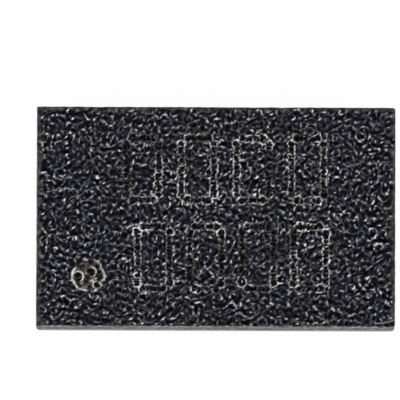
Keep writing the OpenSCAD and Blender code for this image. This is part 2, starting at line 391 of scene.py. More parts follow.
@dataclass(frozen=True)
class GreenMask(Finish):
    """Green solder mask, olive where copper lies under it."""

    name: str = "solder_mask"
    bare: Rgb = linear(41, 63, 57)
    bare_dark: Rgb = linear(24, 44, 40)
    over_copper: Rgb = linear(55, 54, 36)
    over_copper_dark: Rgb = linear(31, 32, 23)
    fleck: Rgb = linear(100, 130, 117)
    fleck_over_copper: Rgb = linear(124, 125, 115)
    # The dark ring at each ball's foot: painted shade, with dark flux in it.
    foot: Rgb = linear(20, 21, 18)
    residue: Rgb = linear(86, 80, 70)
    torn: Rgb = linear(104, 102, 100)
    soft: Cloud = Cloud(14.0, 3.0, step=(0.30, 0.70))
    deep: Cloud = Cloud(2.4, 2.0, 47.0, step=(0.38, 0.62))
    peel: Cloud = Cloud(34.0, 2.0, 5.0)
    drift: Cloud = Cloud(11.0, 2.0, 23.0)
    drift_mm: Triple = (0.16, -0.13, 0.0)
    crowd: Cloud = Cloud(4.6, 2.0, 31.0, step=(0.38, 0.60))
    gaps: Cloud = Cloud(50.0, 1.0, step=(0.30, 0.52))
    streaks: Spots = Spots(21.0, "X", (0.54, 0.94), (0.50, 0.10))
    lying: Triple = (0.55, 1.30, 1.0)
    upright: Triple = (1.10, 0.80, 1.0)
    fleck_share: float = 0.78
    relief_mm: float = 0.0016
    shine: float = 0.10
    drawn: bool = False

    def weave(self, kit: NodeKit) -> None:
        """Makes the film with its flecks, its orange peel and, where it is drawn, what the mesh stores.

        Args:
            kit: The material's nodes.
        """
        at = kit.place()
        soft = kit.cloud(at, self.soft)
        bent = kit.bent(at, self.drift, self.drift_mm)
        fleck = self._flecks(kit, bent, self.lying).most(self._flecks(kit, bent, self.upright) * 0.8)
        colour = kit.mix(soft, self.bare_dark, self.bare)
        dust = self.fleck
        if self.drawn:
            copper = kit.stored("copper")
            deep = kit.cloud(at, self.deep) * 0.6 + soft * 0.4
            colour = kit.mix(copper, colour, kit.mix(deep, self.over_copper_dark, self.over_copper))
            dust = kit.mix(copper, self.fleck, self.fleck_over_copper)
            # foot is painted shade round each ball, with dark flux in it; residue and torn are the film's own
            # marks.
            for name, share in (("foot", 0.8), ("residue", 1.0), ("torn", 1.0)):
                colour = kit.mix(kit.stored(name) * share, colour, getattr(self, name))
        colour = kit.mix(fleck * self.fleck_share, colour, dust)
        normal = kit.relief(kit.cloud(at, self.peel) + fleck * 0.4, self.relief_mm)
        kit.surface(colour, 0.34 + soft * 0.16, normal, {"Specular IOR Level": self.shine})

    def _flecks(self, kit: NodeKit, at: Signal, squeezed: Triple) -> Signal:
        """Pale streaks, drawn out by factors, where the weave and dust under the film show through."""
        crowd = kit.cloud(at, self.crowd) * 0.7 + 0.3
        return kit.spots(kit.stretch(at, squeezed), self.streaks) * crowd * kit.cloud(at, self.gaps)


@dataclass(frozen=True)
class CutLaminate(Finish):
    """Sawn glass cloth in resin: fibre bundles, some cut across and some along."""

    name: str = "cut_laminate"
    resin: Rgb = linear(120, 118, 104)
    glass: Rgb = linear(194, 195, 191)
    bundle: Cloud = Cloud(3.2, 1.0, 2.0, (1.0, 1.0, 6.0), (0.40, 0.60))
    along: Cloud = Cloud(14.0, 3.0, 9.0, (1.0, 1.0, 18.0))
    ends_per_mm: float = 120.0
    ends_core: Pair = (0.50, 0.20)
    tone: Pair = (0.15, 0.80)
    relief_mm: float = 0.0015
    shine: float = 0.35

    def weave(self, kit: NodeKit) -> None:
        """Makes the bundles as flat lenses and the fibre ends as fine cells.

        Args:
            kit: The material's nodes.
        """
        at = kit.place()
        bundle = kit.cloud(at, self.bundle)
        ends = kit.grains(at, self.ends_per_mm).rise(*self.ends_core)
        fibres = kit.cloud(at, self.along) * bundle + ends * (1.0 - bundle)
        colour = kit.mix(fibres.rise(*self.tone), self.resin, self.glass)
        normal = kit.relief(fibres, self.relief_mm)
        kit.surface(colour, 0.75 - fibres * 0.15, normal, {"Specular IOR Level": self.shine})


@dataclass(frozen=True)
class Metal(Finish):
    """A metal with its grain and its dull patches."""

    bright: Rgb
    dull: Rgb
    grain_per_mm: float
    depth_mm: float
    rough: Pair
    patch_step: Pair = (0.32, 0.68)

    def weave(self, kit: NodeKit) -> None:
        """Makes patches, fine grain and a little relief.

        Args:
            kit: The material's nodes.
        """
        at = kit.place()
        patch = kit.cloud(at, Cloud(self.grain_per_mm * 0.25, 3.0, step=self.patch_step))
        fine = kit.cloud(at, Cloud(self.grain_per_mm, 3.0, 4.0))
        colour = kit.mix(patch * 0.6 + fine * 0.4, self.dull, self.bright)
        span = self.rough[1] - self.rough[0]
        rough = self.rough[0] + (1.0 - patch) * span * 0.6 + fine * span * 0.4
        kit.surface(colour, rough, kit.relief(fine + patch * 0.5, self.depth_mm), {"Metallic": 1.0})


@dataclass(frozen=True)
class Solder(Finish):
    """Reflowed solder: patches of grains that froze at different angles, and small pits."""

    name: str = "reflowed_solder"
    bright: Rgb = (0.93, 0.93, 0.915)
    dull: Rgb = (0.33, 0.33, 0.322)
    pitted: Rgb = (0.16, 0.16, 0.15)
    drift: Cloud = Cloud(16.0, 2.0, 13.0)
    drift_mm: Triple = (0.09, -0.07, 0.08)
    frozen_per_mm: float = 15.0
    patch: Cloud = Cloud(10.0, 3.0, step=(0.32, 0.66))
    fine: Cloud = Cloud(46.0, 3.0, 4.0)
    pits: Spots = Spots(24.0, "Y", (0.74, 0.90), (0.36, 0.12))
    tone: Pair = (0.20, 0.78)
    relief_mm: float = 0.0016

    def weave(self, kit: NodeKit) -> None:
        """Makes the patches, the pits and the dents.

        Args:
            kit: The material's nodes.
        """
        at = kit.place()
        bent = kit.bent(at, self.drift, self.drift_mm)
        frozen = kit.part(kit.lots(bent, self.frozen_per_mm), "X")
        patch, fine = kit.cloud(at, self.patch), kit.cloud(bent, self.fine)
        grain = frozen * 0.34 + patch * 0.40 + fine * 0.26
        pit = kit.spots(at, self.pits)
        colour = kit.mix(pit * 0.85, kit.mix(grain.rise(*self.tone), self.dull, self.bright), self.pitted)
        normal = kit.relief(patch * 0.6 + fine * 0.3 - pit * 0.5, self.relief_mm)
        kit.surface(colour, 0.42 - grain * 0.18 + pit * 0.12, normal, {"Metallic": 1.0})


@dataclass(frozen=True)
class PlatedCopper(Finish):
    """Copper with gold plate on it only inside the mask windows."""

    name: str = "plated_copper"
    copper: Rgb = (0.60, 0.29, 0.17)
    copper_dull: Rgb = (0.36, 0.17, 0.10)
    gold: Rgb = (0.92, 0.70, 0.33)
    gold_dull: Rgb = (0.72, 0.49, 0.19)
    window: Pair = (0.775, 1.055)
    window_blur: float = 0.002
    patch: Cloud = Cloud(16.0, 3.0, step=(0.32, 0.68))
    fine: Cloud = Cloud(70.0, 3.0, 4.0)
    relief_mm: float = 0.0009

    def weave(self, kit: NodeKit) -> None:
        """Makes both metals and the line between them along each window.

        Args:
            kit: The material's nodes.
        """
        at = kit.place()
        across = kit.part(at, "Y")
        away = across.math("ABSOLUTE", across)
        (start, end), blur = self.window, self.window_blur
        plated = away.rise(start - blur, start + blur) * away.rise(end + blur, end - blur)
        patch, fine = kit.cloud(at, self.patch), kit.cloud(at, self.fine)
        worn = patch * 0.6 + fine * 0.4
        gold = kit.mix(worn, self.gold_dull, self.gold)
        colour = kit.mix(plated, kit.mix(worn, self.copper_dull, self.copper), gold)
        rough = 0.46 - plated * 0.18 - patch * 0.08 + fine * 0.08
        kit.surface(colour, rough, kit.relief(fine + patch * 0.5, self.relief_mm), {"Metallic": 1.0})


@dataclass(frozen=True)
class Matter(Finish):
    """A plain non-metal with two tones, flecks and relief."""

    light: Rgb
    dark: Rgb
    fleck: Rgb
    grain_per_mm: float
    depth_mm: float
    rough: Pair = (0.5, 0.8)
    squeezed: Triple = (1.0, 1.0, 1.0)
    tone_step: Pair = (0.30, 0.70)
    fleck_lots: Pair = (0.70, 1.0)
    fleck_core: Pair = (0.40, 0.15)
    shine: float = 0.4

    def weave(self, kit: NodeKit) -> None:
        """Makes the two tones, the flecks and the relief.

        Args:
            kit: The material's nodes.
        """
        at = kit.stretch(kit.place(), self.squeezed)
        tone = kit.cloud(at, Cloud(self.grain_per_mm, 3.0, step=self.tone_step))
        spots = kit.spots(at, Spots(self.grain_per_mm * 2.0, "Y", self.fleck_lots, self.fleck_core))
        colour = kit.mix(spots, kit.mix(tone, self.dark, self.light), self.fleck)
        rough = self.rough[0] + (self.rough[1] - self.rough[0]) * tone
        normal = kit.relief(tone + spots * 0.5, self.depth_mm)
        kit.surface(colour, rough, normal, {"Specular IOR Level": self.shine})


class Shelf(Enum):
    """The finishes of the inner pieces and the solder."""

    SILICON = Matter(
        "silicon", linear(70, 74, 84), linear(52, 55, 66), linear(92, 96, 108), 6.0, 0.0004,
        (0.16, 0.30), (1.0, 8.0, 1.0),
    )
    ATTACH_FILM = Matter(
        "attach_film", linear(196, 186, 152), linear(168, 156, 120), linear(214, 206, 178), 24.0, 0.001
    )
    RESIN_PLUG = Matter(
        "resin_plug", linear(88, 98, 66), linear(64, 74, 48), linear(120, 128, 98), 40.0, 0.001, (0.4, 0.7)
    )
    COPPER = Metal("copper", (0.68, 0.34, 0.21), (0.42, 0.20, 0.12), 60.0, 0.0012, (0.30, 0.55))
    GOLD_WIRE = Metal("gold_wire", (0.95, 0.73, 0.33), (0.80, 0.56, 0.22), 120.0, 0.0004, (0.16, 0.30))
    ALUMINIUM = Metal("aluminium_pad", (0.88, 0.89, 0.90), (0.66, 0.67, 0.70), 90.0, 0.0006, (0.25, 0.45))
    SOLDER = Solder()


COATS: dict[str, Finish] = {
    "die": Shelf.SILICON.value,
    "bond_pads": Shelf.ALUMINIUM.value,
    "die_attach_film": Shelf.ATTACH_FILM.value,
    "top_solder_mask": GreenMask(),
    "bond_fingers": PlatedCopper(),
    "laminate_core": CutLaminate(),
    "via_barrels": Shelf.COPPER.value,
    "via_plugs": Shelf.RESIN_PLUG.value,
    "ball_pads": Shelf.COPPER.value,
    "bond_wire": Shelf.GOLD_WIRE.value,
}


@dataclass(frozen=True)
class Studio:
    """White table, even sky and soft lamps at a plain level."""

    sky_low: float = 0.80
    sky_high: float = 0.08
    sky_top: float = 0.85
    lamp_strength: tuple[float, ...] = (1.04, 0.84, 0.84, 0.72)
    lamp_turn: tuple[float, ...] = (-40.0, 50.0, 140.0, -130.0)
    lamp_lean: float = 48.0
    lamp_spread: float = 40.0
    table_half: float = 0.5
    table_white: float = 0.88
    table_glow: float = 1.10
    glow_share: float = 0.82
    paper: Cloud = Cloud(2.0, step=(0.0, 1.0))
    paper_swing: float = 0.005

    def build(self) -> None:
        """Makes the sky, the lamps and the table."""
        scene = bpy.context.scene
        scene.view_settings.view_transform = "Standard"
        scene.world = bpy.data.worlds.new("sky")
        scene.world.use_nodes = True
        self._paint_sky(NodeKit(scene.world.node_tree))
        for strength, turn in zip(self.lamp_strength, self.lamp_turn):
            self._hang_lamp(strength, turn)
        self._lay_table()

    def _paint_sky(self, kit: NodeKit) -> None:
        """Makes the sky white to the camera, and else brighter near the horizon.

        Args:
            kit: The world's nodes.
        """
        up = kit.part(kit.node("ShaderNodeTexCoord", {}, {}, "Generated"), "Z")
        span = {"From Min": 0.0, "From Max": self.sky_top, "To Min": self.sky_low, "To Max": self.sky_high}
        level = kit.node("ShaderNodeMapRange", {}, {"Value": up, **span})
        lit = kit.node("ShaderNodeBackground", {}, {"Color": WHITE, "Strength": level})
        white = kit.node("ShaderNodeBackground", {}, {"Color": WHITE, "Strength": 1.0})
        both = kit.node("ShaderNodeMixShader", {}, {0: self._looked_at(kit), 1: lit, 2: white})
        kit.node("ShaderNodeOutputWorld", {}, {"Surface": both})

    @staticmethod
    def _looked_at(kit: NodeKit) -> Signal:
        """Tells a ray that comes from the camera, straight or by a gloss or a clear piece.

        Args:
            kit: The nodes of the world or the table.

        Returns:
            1 for such a ray and 0 for any other.
        """
        kinds = (f"Is {way} Ray" for way in ("Camera", "Glossy", "Transmission"))
        straight, gloss, clear = (kit.node("ShaderNodeLightPath", {}, {}, kind) for kind in kinds)
        return straight.most(gloss).most(clear)

    def _hang_lamp(self, strength: float, turn: float) -> None:
        """Hangs one wide lamp far off.

        Args:
            strength: Its light on a surface that faces it.
            turn: The compass turn that it shines from, in degrees.
        """
        lamp = bpy.data.lights.new("softbox", "SUN")
        lamp.energy = strength
        lamp.angle = math.radians(self.lamp_spread)
        hung = bpy.data.objects.new("softbox", lamp)
        hung.rotation_euler = (math.radians(self.lamp_lean), 0.0, math.radians(turn))
        bpy.context.scene.collection.objects.link(hung)

    def _lay_table(self) -> None:
        """Lays the table at the plane that the balls stand on. From below it is clear."""
        bm = bmesh.new()
        bmesh.ops.create_grid(bm, x_segments=2, y_segments=2, size=self.table_half)
        table = new_object("table", bm)
        material = bpy.data.materials.new("table_top")
        material.use_nodes = True
        kit = NodeKit(material.node_tree)
        mottle = kit.cloud(kit.place(), self.paper) * (2 * self.paper_swing)
        colour = kit.grey(mottle + (self.table_white - self.paper_swing))
        matt = kit.node("ShaderNodeBsdfDiffuse", {}, {"Color": colour})
        level = self.table_white + self._looked_at(kit) * (self.table_glow - self.table_white)
        glow = kit.node("ShaderNodeEmission", {}, {"Color": WHITE, "Strength": level})
        mixed = kit.node("ShaderNodeMixShader", {}, {0: self.glow_share, 1: matt, 2: glow})
        below = kit.node("ShaderNodeNewGeometry", {}, {}, "Backfacing")
        clear = kit.node("ShaderNodeBsdfTransparent", {}, {})
        final = kit.node("ShaderNodeMixShader", {}, {0: below, 1: mixed, 2: clear})
        kit.node("ShaderNodeOutputMaterial", {}, {"Surface": final})
        table.data.materials.append(material)


@dataclass(frozen=True)
class PhotoCamera:
    """A long lens above the package, a little in front of it."""

    aim_mm: Pair = (-0.1635, 0.1714)
    elevation: float = 85.6
    roll: float = 0.22
    distance_mm: float = 120.0
    view_mm: float = 4.116
    sensor_mm: float = 36.0
    near_share: float = 0.1
    far_m: float = 2.0

    def build(self, top: float) -> None:
        """Sets the camera.

        Args:
            top: Height of the moulded top, which the camera aims at.
        """
        data = bpy.data.cameras.new("photo")
        data.sensor_width = self.sensor_mm
        data.lens = self.sensor_mm * self.distance_mm / self.view_mm
        data.clip_start = self.distance_mm * MM * self.near_share
        data.clip_end = self.far_m
        camera = bpy.data.objects.new("photo", data)
        lean = math.radians(self.elevation)
        back = Vector((0.0, -math.cos(lean), math.sin(lean)))
        target = Vector((self.aim_mm[0] * MM, self.aim_mm[1] * MM, top))
        camera.location = target + back * self.distance_mm * MM
        turn = (-back).to_track_quat("-Z", "Y").to_euler()
        turn.rotate_axis("Z", math.radians(self.roll))
        camera.rotation_euler = turn
        bpy.context.scene.collection.objects.link(camera)
        bpy.context.scene.camera = camera


def new_object(name: str, bm: BMesh) -> Object:
    """Turns a bmesh into an object that stands at the origin.

    Args:
        name: The object's name.
        bm: Its shape in metres, which is freed.

    Returns:
        The new object.
    """
    mesh = bpy.data.meshes.new(name)
    bm.to_mesh(mesh)
    bm.free()
    made = bpy.data.objects.new(name, mesh)
    bpy.context.scene.collection.objects.link(made)
    return made


def new_piece(name: str, bm: BMesh, node: Object, finish: Finish) -> Object:
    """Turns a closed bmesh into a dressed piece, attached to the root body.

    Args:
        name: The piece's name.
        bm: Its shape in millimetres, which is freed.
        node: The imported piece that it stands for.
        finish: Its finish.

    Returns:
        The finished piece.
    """
    bmesh.ops.scale(bm, vec=(MM, MM, MM), verts=bm.verts)
    made = new_object(name, bm)
    made.data.materials.append(finish.material())
    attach(made, ROOT)
    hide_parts(node.name)
    return made


def close_skin(bm: BMesh, node: Object, skinned: Callable[[BMFace], bool]) -> None:
    """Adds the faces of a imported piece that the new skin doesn't stand for, and closes the seam below.

    Args:
        bm: The new skin in millimetres.
        node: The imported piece.
        skinned: Whether the new skin stands for a face of it.
    """
    for face in bm.faces:
        face.smooth = True
    kept = bmesh.new()
    kept.from_mesh(node.data)
    bmesh.ops.remove_doubles(kept, verts=kept.verts, dist=SNAP)
    bmesh.ops.scale(kept, vec=(1 / MM,) * 3, verts=kept.verts)
    bmesh.ops.delete(kept, geom=[f for f in kept.faces if skinned(f)], context="FACES")
    for face in kept.faces:
        face.smooth = False
    spare = bpy.data.meshes.new("kept")
    kept.to_mesh(spare)
    kept.free()
    spare.attributes.remove(spare.attributes["custom_normal"])
    bm.from_mesh(spare)
    bpy.data.meshes.remove(spare)
    border = [e for e in bm.edges if e.is_boundary]
    filled = bmesh.ops.triangle_fill(bm, use_beauty=True, use_dissolve=False, edges=border, normal=(0, 0, -1))
    log.info("%s: seam of %d edges, %d faces", node.name, len(border), len(filled["geom"]))
    bmesh.ops.recalc_face_normals(bm, faces=bm.faces)


@dataclass(frozen=True)
class Outline:
    """The rectangle with round corners that the layers of the package have."""

    half_x: float
    half_y: float
    corner_r: float = CORNER_R
    left_share: float = 1.0
    slack: float = 1e-4
    facet_slack: float = 1e-3

    def radius(self, x: float) -> float:
        """The radius of the corners on the side of a place: the left ones can be sharper."""
        return self.corner_r * (self.left_share if x < 0 else 1.0)

    def rounded(self, x: float, y: float) -> Pair:
        """Moves a place near a corner of the rectangle so that the outline gets round corners.

        Args:
            x: The place's x in millimetres.
            y: Its y.

        Returns:
            The place, moved where it is near a corner.
        """
        r = self.radius(x)
        u, v = abs(x) - (self.half_x - r), abs(y) - (self.half_y - r)
        if u <= 0 or v <= 0:
            return x, y
        shrink = max(u, v) / math.hypot(u, v)
        return (
            math.copysign(self.half_x - r + u * shrink, x),
            math.copysign(self.half_y - r + v * shrink, y),
        )

    def outward(self, x: float, y: float) -> Pair:
        """Finds the outward direction of the wall at a place on the outline.

        Args:
            x: The place's x in millimetres.
            y: Its y.

        Returns:
            The x and y of the direction, which has a length of 1.
        """
        r = self.radius(x)
        u, v = abs(x) - (self.half_x - r), abs(y) - (self.half_y - r)
        if u > 0 and v > 0:
            size = math.hypot(u, v)
            return math.copysign(u / size, x), math.copysign(v / size, y)
        return (math.copysign(1.0, x), 0.0) if u > v else (0.0, math.copysign(1.0, y))

    def holds(self, x: float, y: float) -> bool:
        """Tests a place against the outline as it is packed.

        Args:
            x: The place's x in millimetres.
            y: Its y.

        Returns:
            Whether it lies on the outline.
        """
        u, v = abs(x) - (self.half_x - self.corner_r), abs(y) - (self.half_y - self.corner_r)
        if u > -self.slack and v > -self.slack:
            return abs(math.hypot(max(u, 0.0), max(v, 0.0)) - self.corner_r) < self.facet_slack
        return max(u, v) > self.corner_r - self.slack


@dataclass(frozen=True)
class Ripple:
    """A level that waves vary, kept between two ends.

    Each wave has its gain, its length in grid steps, and how far other lengths take part.
    """

    level: float
    waves: tuple[Triple, ...]
    ends: Pair = (-math.inf, math.inf)


@dataclass
class GridMap:
    """Values on a grid that covers one flat side of the package."""

    half_x: float
    half_y: float
    columns: int
    rows: int
    depth: Map = field(init=False)

    def _lay_grid(self, seed: int) -> None:
        """Works out the grid's points and its waves to the step, and starts the noise.

        Args:
            seed: The seed of the noise.
        """
        self.rng = np.random.default_rng(seed)
        self.shape = (self.rows + 1, self.columns + 1)
        self.step = 2 * self.half_x / self.columns
        self.x = np.linspace(-self.half_x, self.half_x, self.columns + 1)[None, :]
        self.y = np.linspace(-self.half_y, self.half_y, self.rows + 1)[:, None]
        pace_y, pace_x = np.fft.fftfreq(self.rows + 1)[:, None], np.fft.fftfreq(self.columns + 1)[None, :]
        self.pace = np.hypot(pace_y, pace_x) + SNAP
        self.lying = (pace_y / self.pace) ** 2

    @staticmethod
    def _filtered(values: Map, share: Map) -> Map:
        """Keeps a share of each wave in a map."""
        return np.fft.ifft2(np.fft.fft2(values) * share).real

    def _waves(self, wave: float, spread: float) -> Map:
        """Filtered noise.

        Args:
            wave: Length of its waves in grid steps.
            spread: How far other lengths take part.

        Returns:
            A map with a mean of 0 and a deviation of 1.
        """
        grains = self.rng.standard_normal(self.shape)
        made = self._filtered(grains, bell(np.log(self.pace * wave), spread))
        return made / made.std()

    def _rippled(self, ripple: Ripple) -> Map:
        """Draws a ripple, which takes new noise for each of its waves.

        Args:
            ripple: Its level, its waves and its ends.

        Returns:
            Its values on the grid.
        """
        total = ripple.level
        for gain, wave, spread in ripple.waves:
            total = total + gain * self._waves(wave, spread)
        return np.clip(total, *ripple.ends)

    def _window(self, x: float, y: float, reach: float) -> tuple[slice, slice]:
        """Finds the part of the grid within a reach of a place.

        Args:
            x: The place's x in millimetres.
            y: Its y.
            reach: The reach in millimetres.

        Returns:
            The rows and the columns.
        """
        i0, i1 = (int((x + self.half_x + s * reach) / self.step) for s in (-1, 1))
        j0, j1 = (int((y + self.half_y + s * reach) / self.step) for s in (-1, 1))
        return slice(max(0, j0), max(0, j1 + 2)), slice(max(0, i0), max(0, i1 + 2))


def lay_skin(
    outline: Outline, drawn: GridMap, stored: tuple[str, ...], level: float, up: int
) -> tuple[BMesh, dict[str, Any]]:
    """Lays a grid over one side of the package, with the heights and the values of its map.

    Args:
        outline: The outline that the grid fills.
        drawn: The map.
        stored: The values that the mesh stores, as the map names them.
        level: Height of the side in millimetres.
        up: 1 where the map's depth goes up from it, and -1 where it goes down.

    Returns:
        The mesh in millimetres, and its stored values by name.
    """
    bm = bmesh.new()
    bmesh.ops.create_grid(bm, x_segments=drawn.columns, y_segments=drawn.rows, size=1.0)
    for name in stored:
        bm.verts.layers.float.new(name)
    layers = dict(bm.verts.layers.float.items())
    for vert in bm.verts:
        i = round((vert.co.x + 1) / 2 * drawn.columns)
        j = round((vert.co.y + 1) / 2 * drawn.rows)
        x, y = outline.rounded(vert.co.x * outline.half_x, vert.co.y * outline.half_y)
        vert.co = (x, y, level + up * float(drawn.depth[j, i]))
        for name, layer in layers.items():
            vert[layer] = float(getattr(drawn, name)[j, i])
    return bm, layers


@dataclass(frozen=True)
class IndexMark:
    """The index mark: a round field of molten pits in a pale line that is broken in places."""

    at: Pair = (-1.311, -0.600)
    ring_r: float = 0.163
    ring_waves: tuple[tuple[int, float, float], ...] = ((1, 0.012, -4.97), (3, 0.006, 2.2), (6, 0.004, 0.3))
    ring_level: Triple = (0.88, 0.16, 0.7)
    breaks: tuple[Pair, ...] = ((279, 6), (332, 8), (128, 22))
    break_ends: Pair = (0.12, 1.0)
    break_blur: float = 6
    line_w: float = 0.0115
    field_blur: float = 0.02
    rim_share: float = 1.08
    hidden: Pair = (0.78, 0.2)
    molten: tuple[Pit, ...] = (
        (192, 0.108, 0.050, 0.90),
        (40, 0.040, 0.046, 0.86),
        (79, 0.129, 0.033, 0.30),
        (43, 0.122, 0.020, 0.20),
        (16, 0.119, 0.024, 0.35),
        (-8, 0.128, 0.022, 0.20),
        (-50, 0.140, 0.036, 0.85),
        (-88, 0.134, 0.024, 0.40),
        (127, 0.088, 0.028, 0.35),
    )

    def pits(self) -> list[Pit]:
        """Lists the pits of the mark.

        Returns:
            For each pit its middle, its radius and how strong its rim is.
        """
        found = []
        for turn, away, radius, rim in self.molten:
            across, up = away * math.cos(math.radians(turn)), away * math.sin(math.radians(turn))
            found.append((self.at[0] + across, self.at[1] + up, radius, rim))
        return found

    def line(self, x: Map, y: Map, nearest: Map) -> tuple[Map, Map]:
        """Draws the field and its pale lines.

        Args:
            x: The places' x.
            y: The places' y.
            nearest: How far each place is from the nearest pit in pit radii.

        Returns:
            The field, from 1 inside to 0 outside, and the pale lines round it and round its pits.
        """
        turn = np.arctan2(y - self.at[1], x - self.at[0])
        waves = (size * np.cos(count * turn + shift) for count, size, shift in self.ring_waves)
        beyond = np.hypot(x - self.at[0], y - self.at[1]) - (self.ring_r + sum(waves))
        level, swing, shift = self.ring_level
        whole = level - swing * np.cos(turn - shift)
        for middle, half in self.breaks:
            away = np.abs((np.degrees(turn) - middle + 180) % 360 - 180)
            whole = whole * np.clip((away - half) / self.break_blur + 0.5, *self.break_ends)
        drawn = whole * bell(beyond, self.line_w)
        for px, py, radius, rim in self.pits():
            away = np.hypot(x - px, y - py) - self.rim_share * radius
            drawn = np.maximum(drawn, rim * bell(away, self.line_w))
        inside = np.clip(0.5 - beyond / self.field_blur, 0.0, 1.0)
        return inside, drawn * ramp(nearest - self.hidden[0], self.hidden[1])


@dataclass
class MarkField:
    """Where the laser has struck: blank open-cornered cells and the index mark."""

    cell_w: float = 0.33
    cell_h: float = 0.64
    corner_gap: float = 0.060
    rows: tuple[Pit, ...] = ((-0.755, 0.566, 0.488, 1.0), (-0.640, 0.536, -0.423, 1.2))
    cells_in_row: int = 4
    pit_r: float = 0.031
    pit_step: float = 0.040
    pit_stray: float = 0.0035
    pit_vary: Pair = (0.85, 1.15)
    start_power: Pair = (0.6, 1.15)
    power_ends: Pair = (0.3, 1.2)
    power_drift: float = 0.18
    end_share: float = 1.3
    level_share: float = 0.85
    index: IndexMark = IndexMark()
    seed: int = 23

    def pits(self) -> list[Pit]:
        """Lists the pits.

        Returns:
            For each pit its middle, its radius and how strong its rim is. The index mark draws its own rims.
        """
        rng = np.random.default_rng(self.seed)
        found = [(x, y, radius, 0.0) for x, y, radius, _ in self.index.pits()]
        for start, pitch, middle, gain in self.rows:
            for n in range(self.cells_in_row):
                x0, x1 = start + n * pitch - self.cell_w / 2, start + n * pitch + self.cell_w / 2
                y0, y1 = middle - self.cell_h / 2, middle + self.cell_h / 2
                g = self.corner_gap
                for a, b, share in (
                    ((x0, y0 + g), (x0, y1 - g), 1.0),
                    ((x1, y0 + g), (x1, y1 - g), 1.0),
                    ((x0 + g, y0), (x1 - g, y0), self.level_share),
                    ((x0 + g, y1), (x1 - g, y1), self.level_share),
                ):
                    found += self._stroke(rng, a, b, gain * share)
        return found

    def _stroke(self, rng: np.random.Generator, a: Pair, b: Pair, gain: float) -> list[Pit]:
        """Lists the pits of one straight stroke.

        Args:
            rng: The source of what varies.
            a: Where it starts.
            b: Where it ends.
            gain: How strong its rims are.

        Returns:
            For each pit its middle, its radius and how strong its rim is.
        """
        steps = max(1, round(math.dist(a, b) / self.pit_step))
        power = rng.uniform(*self.start_power)
        low, high = self.power_ends
        pits = []
        for k in range(steps + 1):
            x, y = (a[i] + (b[i] - a[i]) * k / steps + rng.normal(0.0, self.pit_stray) for i in (0, 1))
            power = min(high, max(low, power + rng.normal(0.0, self.power_drift)))
            end = self.end_share if k in (0, steps) else 1.0
            pits.append((x, y, self.pit_r * rng.uniform(*self.pit_vary) * end, power * end * gain))
        return pits


